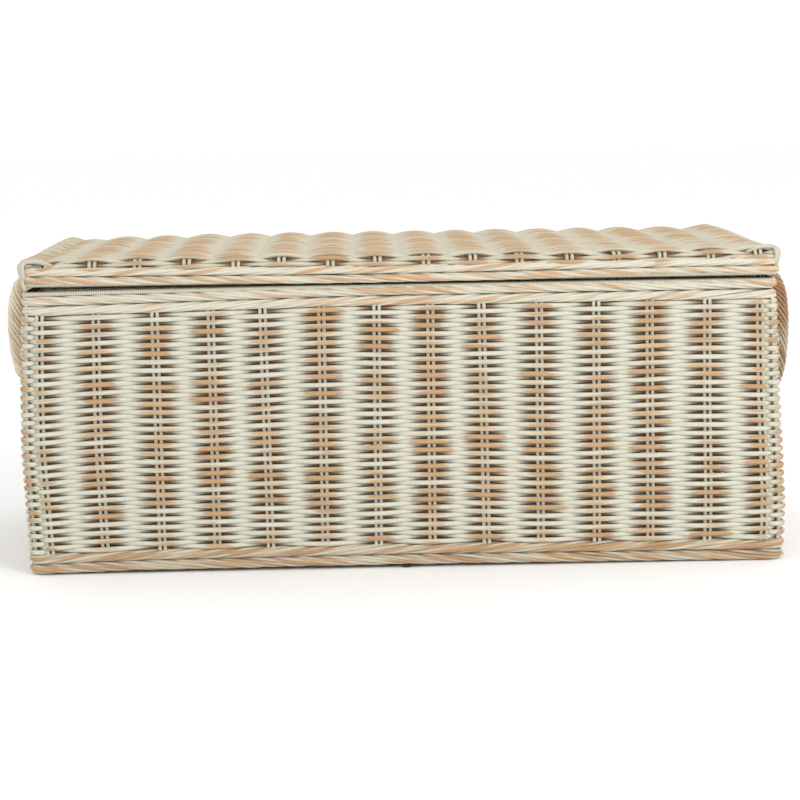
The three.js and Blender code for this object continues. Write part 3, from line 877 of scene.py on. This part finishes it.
woven(
    "trunk_rim_winding",
    [
        wound_rail("top_rail", top_rail_z),
        wound_core(top_core_half, CORE_TOP - CORE_RADIUS, settle_rim),
    ],
    binding,
    "trunk",
    [f"top_rail_{s}" for s in THREE_SIDES],
)
woven(
    "lid_rim_winding",
    [
        wound_rail("lid_rail", lid_rail_z),
        wound_core(lid_core_half, LID_CORE_BOTTOM + CORE_RADIUS, settle_lid_rim),
    ],
    binding,
    "lid",
    [f"lid_rail_{s}" for s in THREE_SIDES],
)

# %% [markdown]
# ## Twisted handles
# A handle is a bundle of canes twisted hard round each other. It leaves the trunk over the top
# border, hangs out in a loop and comes back to the wall lower down. The loop is an even curve
# through a few places, given as shares of the CAD handle's box: outwards, along the wall, and down.
# One leg is written out and mirrored for the other. The two real handles have set differently, so
# the right one hangs a little lower and the left one is drawn up over the border.


# %% Twisted handles
GRIP_RADIUS = 13.0
GRIP_CANES = 10
GRIP_CANE = 2.45  # radius of one cane
GRIP_STEPS = 170
GRIP_LEVEL = 3.2
TWIST = 115.0  # length of one full turn of the bundle
LEFT_LIFT = 13.0  # the left handle is drawn up this far
PALE_BELOW = 352.0  # the right handle keeps its coat below this height
grip_low, grip_high = low("handle_right"), high("handle_right")
grip_base = rim_half[0] - 0.5
grip_out = grip_high[0] - GRIP_RADIUS - grip_base
grip_half = (grip_high[1] - grip_low[1]) / 2 - GRIP_RADIUS
grip_top = grip_high[2] - GRIP_RADIUS
grip_drop = grip_top - grip_low[2] - GRIP_RADIUS
leg = [
    (-0.10, 1.0, -0.02),
    (0.22, 1.0, -0.07),
    (0.60, 1.0, -0.05),
    (0.88, 0.99, 0.10),
    (1.0, 0.98, 0.38),
    (0.97, 0.96, 0.68),
    (0.90, 0.80, 0.94),
    (0.87, 0.40, 1.05),
]
lowest = [(0.86, 0.0, 1.06)]
shares = np.array(leg + lowest + [(out, -aside, fall) for out, aside, fall in reversed(leg)])
loop = np.array([grip_base, 0, grip_top]) + shares * [grip_out, -grip_half, -grip_drop]


def twisted_grip(spine, mirror):
    """The canes of one handle, twisted round a spine on the right (1) or the left (-1)."""
    tangent = unit(np.gradient(spine, axis=0))
    away = unit(np.cross(tangent, [0.0, 0.0, 1.0]) + np.array([0.6 * mirror, 0, 0]))
    away = unit(away - tangent * np.sum(away * tangent, -1, keepdims=True))
    beside = np.cross(tangent, away)
    run = np.cumsum(np.linalg.norm(np.diff(spine, axis=0, prepend=spine[:1]), axis=-1))
    start = np.arange(GRIP_CANES)[:, None] / GRIP_CANES
    angle = -2 * np.pi * (run / TWIST + start)
    direction = np.cos(angle)[..., None] * away + np.sin(angle)[..., None] * beside
    path = spine + (GRIP_RADIUS - GRIP_CANE) * direction
    thick = GRIP_CANE * (1 + chance.normal(0, 0.04, (GRIP_CANES, 1)) + 0 * angle)
    kept_coat = smooth((PALE_BELOW - spine[:, 2]) / 30) * (mirror > 0)
    level = GRIP_LEVEL * (1 - kept_coat) + 0 * angle
    return sweep(path, direction, round_section(thick), level)


for label, mirror, slack, finish in (("right", 1, 1.12, bare_grip), ("left", -1, 0.95, pale_grip_painted_light)):
    clear_of_border = smooth((loop[:, 0] - grip_base - 6) / 16)
    hung = loop + (mirror < 0) * LEFT_LIFT * clear_of_border[:, None] * UP
    hung[:, 2] = grip_top - (grip_top - hung[:, 2]) * slack
    spine = smooth_path(hung, GRIP_STEPS) * np.array([mirror, 1, 1])
    canes = twisted_grip(spine, mirror)
    woven(
        f"handle_grip_{label}", [canes], finish, "trunk", [f"handle_{label}"]
    )


# %% [markdown]
# ## Poles, steel and rubber
# The frame inside is plain rattan pole, the hinges and screws are zinc-plated steel, and the small
# feet are dark rubber. These are CAD nodes that already have their real shape, so they only get
# finishes.


# %% Finishes of the CAD nodes
def grown_pole():
    """A pole with its skin on: lighter and darker lengths, and a fine raised grain."""
    material, tree, shader = surface("Rattan pole", {"Roughness": 0.5, "IOR": 1.5})
    place = add(tree, "ShaderNodeTexCoord").outputs["Object"]
    grain = add(tree, "ShaderNodeTexNoise", {"Vector": place, "Scale": scale_of(3.125), "Detail": 3.0})
    lengths = add(tree, "ShaderNodeTexNoise", {"Vector": place, "Scale": scale_of(41.67), "Detail": 2.0})
    ramp = add(tree, "ShaderNodeValToRGB", {"Fac": lengths.outputs["Fac"]})
    ramp.color_ramp.elements[0].color = colour("#a98358")
    ramp.color_ramp.elements[1].color = colour("#dcc39a")
    tree.links.new(ramp.outputs["Color"], shader.inputs["Base Color"])
    height = grain.outputs["Fac"]
    relief = add(tree, "ShaderNodeBump", {"Height": height, "Strength": 0.4, "Distance": 0.0003})
    tree.links.new(relief.outputs["Normal"], shader.inputs["Normal"])
    return material


def zinc_steel():
    """Pressed steel with a thin zinc coat: cold grey, bright and dull by turns in small spangles."""
    plated = {"Metallic": 1.0, "Base Color": colour("#b9bcbd")}
    material, tree, shader = surface("Zinc-plated steel", plated)
    place = add(tree, "ShaderNodeTexCoord").outputs["Object"]
    spangle = add(tree, "ShaderNodeTexNoise", {"Vector": place, "Scale": scale_of(2.5), "Detail": 2.0})
    sheen = {"Value": spangle.outputs["Fac"], "To Min": 0.28, "To Max": 0.48}
    dull = add(tree, "ShaderNodeMapRange", sheen)
    tree.links.new(dull.outputs["Result"], shader.inputs["Roughness"])
    return material


def foot_rubber():
    """Moulded rubber: nearly black, matt, with a slightly rough skin."""
    moulded = {"Base Color": colour("#3a332c"), "Roughness": 0.8}
    material, tree, shader = surface("Dark rubber", moulded)
    place = add(tree, "ShaderNodeTexCoord").outputs["Object"]
    skin = add(tree, "ShaderNodeTexNoise", {"Vector": place, "Scale": scale_of(1.11), "Detail": 2.0})
    height = skin.outputs["Fac"]
    relief = add(tree, "ShaderNodeBump", {"Height": height, "Strength": 0.3, "Distance": 0.0002})
    tree.links.new(relief.outputs["Normal"], shader.inputs["Normal"])
    return material


pole, steel, rubber = grown_pole(), zinc_steel(), foot_rubber()
for name, node in nodes.items():
    finish = steel if name.startswith("hinge") else rubber if name.startswith("foot") else pole
    node.data.materials.clear()
    node.data.materials.append(finish)
print("finishes on CAD nodes:", pole.name, "|", steel.name, "|", rubber.name)

# %% [markdown]
# ## Floor, light and camera
# A white floor under a white sky gives the even light of a product studio. One large soft lamp from
# above the front right shapes the canes, where a small hard one would draw a black line under each
# cane. The camera stands about three metres in front, a little above the lid, and looks slightly
# down.

# %% Floor
FLOOR_REACH = 40.0  # metres each way, so that no edge shows
white_floor = surface("White studio floor", {"Base Color": colour("#fafafa"), "Roughness": 0.9})[0]
mesh = bpy.data.meshes.new("studio_floor")
corners = [(x * FLOOR_REACH, y * FLOOR_REACH, 0) for x, y in ((-1, -1), (1, -1), (1, 1), (-1, 1))]
mesh.from_pydata(corners, [], [(0, 1, 2, 3)])
mesh.materials.append(white_floor)
floor = bpy.data.objects.new("studio_floor", mesh)
bpy.context.scene.collection.objects.link(floor)
print("floor:", 2 * FLOOR_REACH, "m across")

# %% Light
world = bpy.data.worlds.new("Studio sky")
bpy.context.scene.world = world
world.use_nodes = True
sky = world.node_tree.nodes["Background"]
sky.inputs["Color"].default_value = (1, 1, 1, 1)
sky.inputs["Strength"].default_value = 1.04


def soft_lamp(name, place, target, size, power):
    lamp = bpy.data.lights.new(name, "AREA")
    lamp.shape = "DISK"
    lamp.size = size
    lamp.energy = power
    holder = bpy.data.objects.new(name, lamp)
    bpy.context.scene.collection.objects.link(holder)
    holder.location = place
    aim = Vector(target) - Vector(place)
    holder.rotation_euler = aim.to_track_quat("-Z", "Y").to_euler()
    print(f"{name}: {power} W, {size} m across")


soft_lamp("Key lamp", (2.2, -3.2, 2.6), (0, 0, 0.2), 1.4, 60)
bpy.context.scene.view_settings.view_transform = "Standard"

# %% Camera
yaw, pitch, roll = (math.radians(a) for a in (1.496, 8.299, -0.869))
ahead = Vector((math.sin(yaw) * math.cos(pitch), math.cos(yaw) * math.cos(pitch), -math.sin(pitch)))
level = Vector((math.cos(yaw), -math.sin(yaw), 0))
above = level.cross(ahead)
right = math.cos(roll) * level + math.sin(roll) * above
upward = -math.sin(roll) * level + math.cos(roll) * above
camera_data = bpy.data.cameras.new("Camera")
camera_data.lens = 85.8
camera_data.sensor_width = 36
camera = bpy.data.objects.new("Camera", camera_data)
bpy.context.scene.collection.objects.link(camera)
turned = Matrix((right, upward, -ahead)).transposed().to_4x4()
camera.matrix_world = Matrix.Translation((-0.079, -3.023, 0.657)) @ turned
bpy.context.scene.camera = camera
print("camera:", round(camera_data.lens, 1), "mm lens at", tuple(camera.matrix_world.translation))
